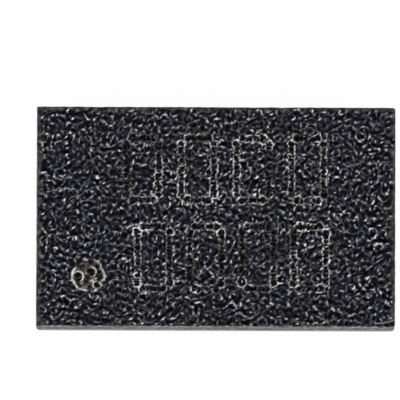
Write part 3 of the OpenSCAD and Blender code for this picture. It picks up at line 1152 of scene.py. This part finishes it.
@dataclass
class SkinMap(GridMap):
    """The skin of the moulded top on a grid: its height and its stored values."""

    marks: MarkField
    seed: int = 7
    base: float = 0.0845
    tone_ends: Pair = (0.02, 0.97)
    ridges: tuple[tuple[float, Ripple], ...] = (
        (12.0, Ripple(0.72, ((0.28, 7.5, 0.5),), (0.0, 1.5))),
        (17.0, Ripple(0.48, ((0.36, 7.5, 0.5),), (0.0, 1.5))),
    )
    ridge_spread: float = 0.45
    ridge_width: float = 0.98
    ridge_flat: float = 0.04
    ridge_gain: float = 1.73
    sway: Ripple = Ripple(0.0, ((1.0, 8.0, 0.5),))
    sway_gain: float = 0.33
    drift: Ripple = Ripple(0.0, ((0.13, 48.0, 0.6), (0.20, 4.0, 0.4)))
    specks: int = 400
    speck_r: Pair = (0.0085, 0.0125)
    speck_long: Pair = (1.0, 2.2)
    speck_level: Triple = (0.35, 0.65, 2.4)
    speck_reach: float = 0.06
    crispness: float = 1.09
    long_wave: float = 18.0
    long_share: float = 0.45
    row_wave: float = 15.5
    row_spread: float = 0.28
    row_gain: float = 0.80
    upright_loss: float = 0.28
    upright_wave: float = 4.5
    ragged_pits: Ripple = Ripple(1.0, ((0.10, 6.0, 0.5),))
    rim_beads: Ripple = Ripple(0.78, ((0.18, 9.0, 0.6), (0.18, 3.6, 0.5)), (0.1, 1.25))
    rim_at: Pair = (1.08, 0.17)
    rim_level: float = 0.92
    web_width: float = 0.20
    web: Ripple = Ripple(0.42, ((0.34, 8.0, 0.5),), (0.0, 1.1))
    margins: tuple[float, float, float, float] = (0.050, 0.042, 0.038, 0.018)
    margin_blend: float = 0.020
    ragged_margin: Ripple = Ripple(1.0, ((0.30, 24.0, 0.6), (0.12, 7.0, 0.5)))
    margin_level: float = 2.75
    margin_sway: float = 0.22
    right_loss: float = 0.5
    inside_blur: float = 0.35
    melt: Triple = (1.45, 0.4, 0.22)
    pit_dark: float = 0.28
    burn: Ripple = Ripple(0.70, ((0.40, 18.0, 0.5),), (0.15, 1.1))
    stroke_tint: float = 0.85
    index_gap: Pair = (1.1, 0.3)
    index_fill: float = 0.17
    index_mottle: Ripple = Ripple(0.9, ((0.55, 8.0, 0.5),))
    ring_beads: Ripple = Ripple(0.82, ((0.36, 13.0, 0.5), (0.14, 3.6, 0.5)), (0.08, 1.15))
    ring_level: float = 0.98
    # A painted highlight along the left edge of the top: its width, its level and its ripple.
    edge_highlight_w: float = 0.012
    edge_highlight_level: float = 0.62
    worn: Ripple = Ripple(1.0, ((0.25, 20.0, 0.8),))
    cobble_depth: float = 0.006
    pit_depth: float = 0.009
    crack_from: Pair = (1.650, -1.094)
    crack_span: Pair = (0.185, 0.033)
    crack_w: float = 0.008
    crack_level: float = 0.58
    flake_dark: float = 0.35
    flake_depth: float = 0.006
    pale: Map = field(init=False)
    laser: Map = field(init=False)
    margin: Map = field(init=False)
    wall: Map = field(init=False)

    def __post_init__(self) -> None:
        """Works the maps out."""
        self._lay_grid(self.seed)
        self.wall = np.zeros(self.shape)
        net, sway = self._cobbles()
        # Paler along the ridges: filler that shows there, and painted highlights where the ridges' slopes
        # would catch the light.
        raised = self.sway_gain * sway + self.ridge_gain * net + self._rippled(self.drift)
        self.pale = self.base * np.exp(raised)
        self._strew_specks_and_glints()
        self.pale = np.clip(self._in_rows(self.pale), self.tone_ends[0], None)
        nearest, rims = self._strike()
        inside = ramp(1.0 - nearest, self.inside_blur)
        self.margin = self._edge_zone()
        smooth = self.base * self.margin_level * np.exp(self.margin_sway * sway)
        self.pale = self.pale * (1 - self.margin) + smooth * self.margin
        melted = ramp(self.melt[0] - nearest, self.melt[1])
        self.pale *= (1 - self.melt[2] * melted) * (1 - self.pit_dark * inside)
        self._burn_marks(nearest, inside, rims)
        broken = self._break_corner()
        # Painted highlight along the left edge, as if the edge caught light from the left.
        worn = bell(self.x + self.half_x, self.edge_highlight_w) * self._rippled(self.worn)
        self.pale = np.clip(np.maximum(self.pale, self.edge_highlight_level * worn), *self.tone_ends)
        swell = np.clip(0.62 * net + 0.38 / (1 + np.exp(-1.6 * sway)), 0.0, 1.0)
        self.depth = self.cobble_depth * (1 - swell) * (1 - 0.75 * self.margin)
        self.depth += self.pit_depth * inside**0.7 + broken
        self.margin = self.margin * (1 - self.right_loss * ramp(self.x, self.half_x) ** 4)

    def _cobbles(self) -> tuple[Map, Map]:
        """Makes the net of ridges between the cobbles.

        Returns:
            The ridges from 0 to about 1.4, and a softer swaying map.
        """
        net = np.zeros(self.shape)
        for wave, crest in self.ridges:
            crease = self._crease(self._waves(wave, self.ridge_spread))
            net = np.maximum(net, crease * self._rippled(crest))
        return net, self._rippled(self.sway)

    def _crease(self, waves: Map) -> Map:
        """Thin lines of even width where the waves cross zero."""
        slope_y, slope_x = np.gradient(waves)
        return bell(waves / (np.hypot(slope_x, slope_y) + self.ridge_flat), self.ridge_width)

    def _strew_specks_and_glints(self) -> None:
        """Adds the pale specks: filler grains that show through the skin, partly painted glints."""
        least, more, power = self.speck_level
        draw = self.rng.uniform
        for _ in range(self.specks):
            x, y = draw(-self.half_x, self.half_x), draw(-self.half_y, self.half_y)
            turn, size = draw(0, math.pi), draw(*self.speck_r)
            stretch, level = draw(*self.speck_long), least + more * draw(0, 1) ** power
            at = self._window(x, y, self.speck_reach)
            dx, dy = self.x[:, at[1]] - x, self.y[at[0], :] - y
            u = (dx * math.cos(turn) + dy * math.sin(turn)) / (size * stretch)
            v = (dy * math.cos(turn) - dx * math.sin(turn)) / size
            self.pale[at] = np.maximum(self.pale[at], level * np.exp(-u * u - v * v))

    def _in_rows(self, values: Map) -> Map:
        """Weakens the long waves of a map and those that stand upright, so that it lies in rows.

        Args:
            values: The map.

        Returns:
            The map with those waves weakened.
        """
        long = (1 - self.long_share) / (1 + (self.pace * self.long_wave) ** 4)
        rows = self.row_gain * self.lying * bell(np.log(self.pace * self.row_wave), self.row_spread)
        upright = self.upright_loss * (1 - self.lying) ** 2 / (1 + (self.pace * self.upright_wave) ** 6)
        share = self.crispness * (1 - long) * (1 + rows) * (1 - upright)
        share[0, 0] = 1.0
        return self._filtered(values, share)

    def _strike(self) -> tuple[Map, Map]:
        """Strikes the pits into the skin.

        Returns:
            How far each place is from the nearest pit in pit radii, and how strong the rims are.
        """
        nearest = np.full(self.shape, FAR)
        second = nearest.copy()
        power = np.zeros(self.shape)
        ragged = self._rippled(self.ragged_pits)
        for x, y, radius, strength in self.marks.pits():
            at = self._window(x, y, 3 * radius)
            far = np.hypot(self.x[:, at[1]] - x, self.y[at[0], :] - y) / radius * ragged[at]
            closer = far < nearest[at]
            second[at] = np.where(closer, nearest[at], np.minimum(second[at], far))
            nearest[at] = np.where(closer, far, nearest[at])
            power[at] = np.where(closer, strength, power[at])
        beads = self._rippled(self.rim_beads)
        rim = bell(nearest - self.rim_at[0], self.rim_at[1])
        web = bell(second - nearest, self.web_width) * ramp(1.1 - nearest, 0.2)
        return nearest, power * beads * np.maximum(rim, web * self._rippled(self.web))

    def _edge_zone(self) -> Map:
        """Draws the smoother zone along the four edges.

        Returns:
            1 at the edge, and 0 inside the zone.
        """
        ragged = self._rippled(self.ragged_margin)
        zone = np.zeros(self.shape)
        sides = (self.x + self.half_x, self.half_x - self.x, self.half_y - self.y, self.y + self.half_y)
        for away, width in zip(sides, self.margins):
            zone = np.maximum(zone, np.clip((width * ragged - away) / self.margin_blend + 0.5, 0.0, 1.0))
        return zone

    def _burn_marks(self, nearest: Map, inside: Map, rims: Map) -> None:
        """Tints what the laser has burnt, and draws the pale rims and the index mark.

        Args:
            nearest: How far each place is from the nearest pit in pit radii.
            inside: How far a place is inside a pit, from 0 to 1.
            rims: How strong the rims of the pits are.
        """
        disc, ring = self.marks.index.line(self.x, self.y, nearest)
        burnt = self._rippled(self.burn) * (1 - 0.5 * inside)
        self.laser = np.maximum(self.stroke_tint * burnt * np.clip(2.6 - 1.6 * nearest, 0.0, 1.0), disc)
        between = ramp(nearest - self.index_gap[0], self.index_gap[1]) * disc
        self.pale = np.maximum(self.pale, between * self.index_fill * self._rippled(self.index_mottle))
        lines = np.maximum(self.rim_level * rims, self.ring_level * ring * self._rippled(self.ring_beads))
        self.pale = np.maximum(self.pale, lines)

    def _break_corner(self) -> Map:
        """Cracks a flake off beside one corner, with a pale line along the crack.

        Returns:
            How much lower the flaked place lies.
        """
        along = ramp(self.x - self.crack_from[0], self.crack_span[0])
        crack = self.crack_from[1] + self.crack_span[1] * along**2
        here = (self.x > self.crack_from[0]) * np.ones_like(self.y)
        line = bell(self.y - crack, self.crack_w) * here
        flake = (self.y < crack) * here
        self.pale = np.maximum(self.pale * (1 - self.flake_dark * flake), self.crack_level * line)
        return flake * self.flake_depth


@dataclass
class MouldCap:
    """The block of mould compound with its skin, its sawn walls and the hollow for die and wires."""

    node: Object
    finish: MouldCompound
    columns: int = 352
    rows: int = 216
    left_share: float = 0.45
    lip: Pair = (0.005, 0.012)
    edge_level: float = 0.28
    # A painted highlight on the rim that faces left: its noise, its gain, and its share by facing.
    rim_highlight_noise: Triple = (6.0, 6.0, 2.0)
    rim_highlight_gain: float = 0.44
    left_highlight: Pair = (1.3, 0.1)
    front_loss: float = 0.14
    frost_noise: tuple[Triple, Triple] = ((34.0, 34.0, 15.0), (71.0, 71.0, 34.0))
    frost_mean: float = 0.26
    frost_swing: float = 2.4
    frost_gain: float = 0.50
    # The share of the rim's pale broken patches kept off the front: painted shade.
    unlit_frost_share: float = 0.4
    frost_level: float = 0.68
    frost_share: tuple[float, ...] = (0.95, 0.85, 0.50, 0.15)
    wall_rows: int = 12
    wall_depth: float = 0.0065
    wall_noise: Triple = (15.0, 15.0, 8.0)
    hole_noise: Triple = (31.0, 31.0, 31.0)
    hole_from: float = 0.25
    hole_depth: float = 0.004
    chips: int = 46
    chip_w: Pair = (0.02, 0.07)
    chip_level: Pair = (0.2, 1.0)
    chip_pale: float = 0.16
    chip_depth: float = 0.010
    chip_shares: Triple = (0.7, 0.6, 0.35)
    seed: int = 5

    def build(self) -> Object:
        """Makes the block.

        Returns:
            The finished piece.
        """
        half_x, half_y, self.top = (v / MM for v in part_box(self.node.name)[1])
        self.outline = Outline(half_x, half_y, left_share=self.left_share)
        self.base = self._base_height()
        self._place_chips()
        skin = SkinMap(half_x, half_y, self.columns, self.rows, MarkField())
        bm, layers = lay_skin(self.outline, skin, ("pale", "laser", "margin", "wall"), self.top, -1)
        self._draw_walls(bm, self._draw_lip(bm, layers), layers)
        close_skin(bm, self.node, self._is_outer)
        return new_piece("moulded_block", bm, self.node, self.finish)

    def _base_height(self) -> float:
        """Height of the flat underside, in millimetres: the lowest point of the outer walls."""
        edge = self.outline.half_x * MM - SNAP
        return min(v.co.z for v in self.node.data.vertices if abs(v.co.x) > edge) / MM

    def _place_chips(self) -> None:
        """Chooses where the sawn edge has lost small chips, as a share of the way round."""
        draw = np.random.default_rng(self.seed).uniform
        self.chip_at = [
            (draw(0, 1), draw(*self.chip_w), draw(*self.chip_level) ** 2) for _ in range(self.chips)
        ]

    def _chipped(self, x: float, y: float) -> float:
        """Finds how much of the edge is chipped off at a place on the outline.

        Args:
            x: The place's x in millimetres.
            y: Its y.

        Returns:
            The share that is gone, from 0 to 1.
        """
        half_x, half_y = self.outline.half_x, self.outline.half_y
        loss = 0.0
        for share, width, level in self.chip_at:
            turn = share * 2 * math.pi
            cx, cy = half_x * math.cos(turn), half_y * math.sin(turn)
            pull = min(half_x / max(abs(cx), SNAP), half_y / max(abs(cy), SNAP))
            away = math.hypot(x - cx * pull, y - cy * pull) / width
            if away < 1:
                loss = max(loss, level * (1 - away * away))
        return loss

    def _frosted(self, place: Vector) -> float:
        """How white the sawn edge has broken at a place on it, from 0 to 1."""
        broad, narrow = (noise_at(place, per_mm) for per_mm in self.frost_noise)
        return min(1.0, max(0.0, self.frost_mean + self.frost_swing * (broad + 0.4 * narrow)))

    def _draw_lip(self, bm: BMesh, layers: dict[str, Any]) -> list[BMEdge]:
        """Lowers the rim of the grid and draws it in, chipped and pale where it has broken, with painted
        light by the way it faces: a painted highlight on the left-facing rim, and its pale patches weaker off
        the front as painted shade.

        Args:
            bm: The mesh with the grid.
            layers: The stored values.

        Returns:
            The edges of the rim.
        """
        rim = [e for e in bm.edges if e.is_boundary]
        for v in {v for e in rim for v in e.verts}:
            loss = self._chipped(v.co.x, v.co.y)
            v.co.z = min(v.co.z, self.top - self.lip[0]) - loss * self.chip_depth * self.chip_shares[0]
            ox, oy = self.outline.outward(v.co.x, v.co.y)
            # Painted highlight on the rim that faces left, mottled by noise, and a little of it elsewhere.
            worn = 0.5 + noise_at((v.co.x, v.co.y, 1.0), self.rim_highlight_noise)
            pale = self.edge_level + self.rim_highlight_gain * worn * max(-self.left_highlight[0] * ox, self.left_highlight[1])
            # Paler where chipped, and darker on the front rim.
            v[layers["pale"]] = pale + self.chip_pale * loss - self.front_loss * max(-oy, 0.0)
            frost = self.frost_gain * self._frosted(v.co)
            # Pale broken patches on the rim, partly a painted edge highlight: whole on the front, weakened
            # elsewhere as painted shade.
            v[layers["pale"]] += frost * (1.0 if oy < 0 else self.unlit_frost_share)
            inward = self.lip[0] + loss * self.chip_depth * self.chip_shares[1]
            v.co.x -= ox * inward
            v.co.y -= oy * inward
        return rim

    def _draw_walls(self, bm: BMesh, rim: list[BMEdge], layers: dict[str, Any]) -> None:
        """Draws the walls down from the rim, row by row.

        Args:
            bm: The mesh with the grid and its lip.
            rim: The edges of the rim.
            layers: The stored values.
        """
        start = self.top - self.lip[1]
        for n in range(self.wall_rows + 1):
            height = start - (start - self.base) * n / self.wall_rows
            made = bmesh.ops.extrude_edge_only(bm, edges=rim)["geom"]
            rim = [g for g in made if isinstance(g, BMEdge) and g.is_boundary]
            for v in {v for e in rim for v in e.verts}:
                self._set_wall_point(v, height, n == 0, n == self.wall_rows)
                v[layers["margin"]] = 0.0
                v[layers["wall"]] = 1.0
                if n < len(self.frost_share):
                    v[layers["wall"]] -= self.frost_share[n] * self._frosted(v.co)
                    v[layers["pale"]] = self.frost_level

    def _set_wall_point(self, vert: BMVert, height: float, first: bool, last: bool) -> None:
        """Puts a point of the wall at its height, with the saw's waves in it.

        Args:
            vert: The point, still at the place of the one above it.
            height: Its height in millimetres.
            first: Whether it is in the top row, which the chips reach.
            last: Whether it is in the bottom row, which stays straight.
        """
        x, y = vert.co.x, vert.co.y
        ox, oy = self.outline.outward(x, y)
        corner_r = self.outline.radius(x)
        reach = self.outline.half_x - corner_r, self.outline.half_y - corner_r
        if abs(x) > reach[0] and abs(y) > reach[1]:
            out = corner_r
            cx, cy = math.copysign(reach[0], x), math.copysign(reach[1], y)
        else:
            out = self.outline.half_x if ox else self.outline.half_y
            cx, cy = (0.0, y) if ox else (x, 0.0)
        wave = 0.5 + 0.5 * noise_at((x, y, height), self.wall_noise)
        hole = max(0.0, noise_at((x, y, height), self.hole_noise) - self.hole_from)
        dent = 0.0 if last else self.wall_depth * wave + self.hole_depth * hole
        if first:
            dent += self._chipped(x, y) * self.chip_depth * self.chip_shares[2]
        vert.co = (cx + ox * (out - dent), cy + oy * (out - dent), height)

    def _is_outer(self, face: BMFace) -> bool:
        """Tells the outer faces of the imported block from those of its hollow.

        Args:
            face: The face, in millimetres.

        Returns:
            Whether it lies in the top, the underside or a wall.
        """
        points = [v.co for v in face.verts]
        for level, up in ((self.top, 1), (self.base, -1)):
            if all(abs(p.z - level) < TOUCH for p in points) and face.normal.z * up > FACING:
                return True
        return abs(face.normal.z) < 1 - FACING and all(self.outline.holds(p.x, p.y) for p in points)


@dataclass
class FilmMap(GridMap):
    """The mask film of the underside on a grid: its height and its stored values."""

    copper_plate: Object
    balls: list[Pair]
    ball_r: float
    seed: int = 11
    sink: float = 0.008
    blur: float = 1.1
    copper_vary: Ripple = Ripple(1.0, ((0.10, 9.0, 0.6),))
    patches: Ripple = Ripple(-0.55, ((0.9, 7.0, 0.5),), (0.0, 1.0))
    residue_at: Pair = (0.018, 0.016)
    # The dark ring at each ball's foot: painted shade, with dark flux in it.
    foot_shade_w: float = 0.030
    foot_shade_vary: Ripple = Ripple(0.80, ((0.16, 6.0, 0.6),))
    torn_w: float = 0.021
    torn_vary: Ripple = Ripple(0.7, ((0.3, 12.0, 0.7),), (0.0, 1.0))
    copper: Map = field(init=False)
    residue: Map = field(init=False)
    foot: Map = field(init=False)
    torn: Map = field(init=False)

    def __post_init__(self) -> None:
        """Works the maps out."""
        self._lay_grid(self.seed)
        blurred = np.exp(-2.0 * (math.pi * self.pace * self.blur) ** 2)
        soft = np.clip(self._filtered(self._draw_copper(), blurred), 0.0, 1.0)
        self.copper = np.clip(soft * self._rippled(self.copper_vary), 0.0, 1.0)
        self._soil_and_shade_feet()
        edge = np.minimum(self.half_x - np.abs(self.x), self.half_y - np.abs(self.y))
        self.torn = bell(edge, self.torn_w) * self._rippled(self.torn_vary)
        self.depth = self.sink * (1.0 - soft)

    def _draw_copper(self) -> Map:
        """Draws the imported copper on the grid.

        Returns:
            1 over copper and 0 elsewhere.
        """
        found = np.zeros(self.shape)
        mesh = self.copper_plate.data
        for piece in mesh.polygons:
            if piece.normal.z > -FACING:
                continue
            a, b, c = (mesh.vertices[v].co.xy / MM for v in piece.vertices)
            middle = (a + b + c) / 3
            reach = max((p - middle).length for p in (a, b, c)) + self.step
            at = self._window(middle.x, middle.y, reach)
            x, y = self.x[:, at[1]], self.y[at[0], :]
            sides = [(q.x - p.x) * (y - p.y) - (q.y - p.y) * (x - p.x) for p, q in ((a, b), (b, c), (c, a))]
            inside = np.all([s >= -SNAP for s in sides], axis=0) | np.all([s <= SNAP for s in sides], axis=0)
            found[at] = np.maximum(found[at], inside)
        return found

    def _soil_and_shade_feet(self) -> None:
        """Soils and shades the film round the balls: patches of brown flux residue, and a dark ring at each
        foot that is painted shade where the ball shades the film, with dark flux in it.
        """
        patches = self._rippled(self.patches)
        near, spread = self.residue_at
        beyond = np.full(self.shape, FAR)
        for x, y in self.balls:
            beyond = np.minimum(beyond, np.hypot(self.x - x, self.y - y) - self.ball_r)
        self.residue = np.clip(patches * bell(beyond - near, spread), 0.0, 1.0)
        # The dark ring at each foot: painted shade where the ball shades the film.
        ring = bell(np.clip(beyond, 0.0, None), self.foot_shade_w) * self._rippled(self.foot_shade_vary)
        self.foot = np.clip(ring, 0.0, 1.0)


@dataclass
class MaskedUnderside:
    """The mask film of the underside: it follows the copper under it and is open at each ball."""

    node: Object
    copper_plate: Object
    balls: list[Object]
    finish: GreenMask
    columns: int = 330
    rows: int = 202
    opening_r: float = 0.10
    seam: float = 0.003
    cleared: float = 0.45
    drawn_in: float = 2.5

    def build(self) -> Object:
        """Makes the film.

        Returns:
            The finished piece.
        """
        low, high = (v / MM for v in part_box(self.node.name))
        self.level = low.z
        self.outline = Outline(high.x - self.seam, high.y - self.seam, CORNER_R - self.seam)
        boxes = [[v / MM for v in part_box(ball.name)] for ball in self.balls]
        self.middles = [((a + b) / 2).xy for a, b in boxes]
        ball_r = (boxes[0][1].x - boxes[0][0].x) / 2
        places = [(m.x, m.y) for m in self.middles]
        film = FilmMap(high.x, high.y, self.columns, self.rows, self.copper_plate, places, ball_r)
        bm, _ = lay_skin(self.outline, film, ("copper", "residue", "foot", "torn"), self.level, 1)
        self._open_at_balls(bm)
        close_skin(bm, self.node, self._is_underside)
        return new_piece("mask_film", bm, self.node, self.finish)

    def _open_at_balls(self, bm: BMesh) -> None:
        """Cuts the round openings and draws their edges true.

        Args:
            bm: The film in millimetres.
        """
        reach = self.opening_r + self.seam
        step = 2 * self.outline.half_x / self.columns
        clear = reach + self.cleared * step
        held = [v for v in bm.verts if any((v.co.xy - m).length < clear for m in self.middles)]
        bmesh.ops.delete(bm, geom=held, context="VERTS")
        for vert in {v for e in bm.edges if e.is_boundary for v in e.verts}:
            for middle in self.middles:
                away = vert.co.xy - middle
                if away.length < reach + self.drawn_in * step:
                    vert.co.xy = middle + away.normalized() * reach

    def _is_underside(self, face: BMFace) -> bool:
        """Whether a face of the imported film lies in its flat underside."""
        return face.normal.z < -FACING and all(abs(v.co.z - self.level) < TOUCH for v in face.verts)


@dataclass
class BallGrid:
    """The reflowed solder balls."""

    nodes: list[Object]
    rings: int = 20
    turns: int = 44
    neck: float = 0.20
    neck_slack: float = 1e-4
    mottle: float = 0.0016
    dent_mean: float = 0.5
    dents: tuple[Pair, Pair] = ((13.0, 0.5), (34.0, 0.35))
    foot_fade: float = 0.02
    neck_fade: float = 0.03
    flat_from: float = 0.99

    def build(self) -> list[Object]:
        """Makes one smooth ball for each packed ball."""
        return [self._ball(node) for node in self.nodes]

    def _ball(self, node: Object) -> Object:
        """Args:
            node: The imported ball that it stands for.

        Returns:
            The finished ball.
        """
        low, high = (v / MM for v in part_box(node.name))
        middle = (low + high) / 2
        radius = (high.x - low.x) / 2
        opening = math.sqrt(radius**2 - (self.neck - radius) ** 2)
        stop = math.pi - math.asin(opening / radius)
        angles = [stop * k / self.rings for k in range(self.rings + 1)]
        profile = [(radius * math.sin(a), radius - radius * math.cos(a)) for a in angles]
        profile += [(opening, high.z), (0.0, high.z)]
        bm = bmesh.new()
        points = [bm.verts.new((middle.x + r, middle.y, z)) for r, z in profile]
        edges = [bm.edges.new(pair) for pair in zip(points, points[1:])]
        axle = {"cent": (middle.x, middle.y, 0.0), "axis": (0, 0, 1), "angle": 2 * math.pi}
        bmesh.ops.spin(bm, geom=points + edges, steps=self.turns, use_merge=True, **axle)
        bmesh.ops.remove_doubles(bm, verts=bm.verts, dist=TOUCH)
        bmesh.ops.recalc_face_normals(bm, faces=bm.faces)
        self._dent(bm, Vector((middle.x, middle.y, radius)))
        for face in bm.faces:
            face.smooth = face.normal.z < self.flat_from
        name = node.name.replace("solder", "reflowed")
        return new_piece(name, bm, node, Shelf.SOLDER.value)

    def _dent(self, bm: BMesh, core: Vector) -> None:
        """Dents a ball below its neck, less and less towards the table and the neck.

        Args:
            bm: The round ball in millimetres.
            core: Its middle.
        """
        for vert in bm.verts:
            if vert.co.z < self.neck - self.neck_slack:
                away = (vert.co - core).normalized()
                swings = (gain * noise_at(vert.co, (per_mm,) * 3) for per_mm, gain in self.dents)
                dent = self.mottle * sum(swings, self.dent_mean)
                foot, neck = vert.co.z / self.foot_fade, (self.neck - vert.co.z) / self.neck_fade
                vert.co -= away * max(0.0, dent) * (min(1.0, foot) * min(1.0, neck))


@dataclass
class PackedPieces:
    """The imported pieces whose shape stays, with a finish for each."""

    nodes: dict[str, Object]

    def dress(self) -> None:
        """Gives each kept piece its finish."""
        for name, node in self.nodes.items():
            finish = self._finish_of(name)
            if finish is not None:
                for slot in node.material_slots:
                    slot.material = finish.material()
                log.info("dressed %s with %s", name, finish.name)

    @staticmethod
    def _finish_of(name: str) -> Finish | None:
        """Finds the finish by the piece's name, or by its name without the ball's place."""
        return COATS.get(name) or COATS.get(name.rsplit("_", 1)[0])


def main() -> None:
    """Builds the classes in order and reports each piece."""
    logging.basicConfig(level=logging.INFO, format="%(message)s")
    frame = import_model()
    nodes = frame["nodes"]
    Studio().build()
    cap = MouldCap(nodes["mold_cap"], MouldCompound()).build()
    PhotoCamera().build(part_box("mold_cap")[1].z)
    packed_balls = [nodes[n] for n in sorted(nodes) if n.startswith("solder_ball")]
    mask = GreenMask("bottom_mask", drawn=True)
    film = MaskedUnderside(nodes["bottom_solder_mask"], nodes["ball_pads"], packed_balls, mask).build()
    for piece in (cap, film, *BallGrid(packed_balls).build()):
        log.info("%s: %d faces", piece.name, len(piece.data.polygons))
    PackedPieces(nodes).dress()


if __name__ == "__main__":
    main()
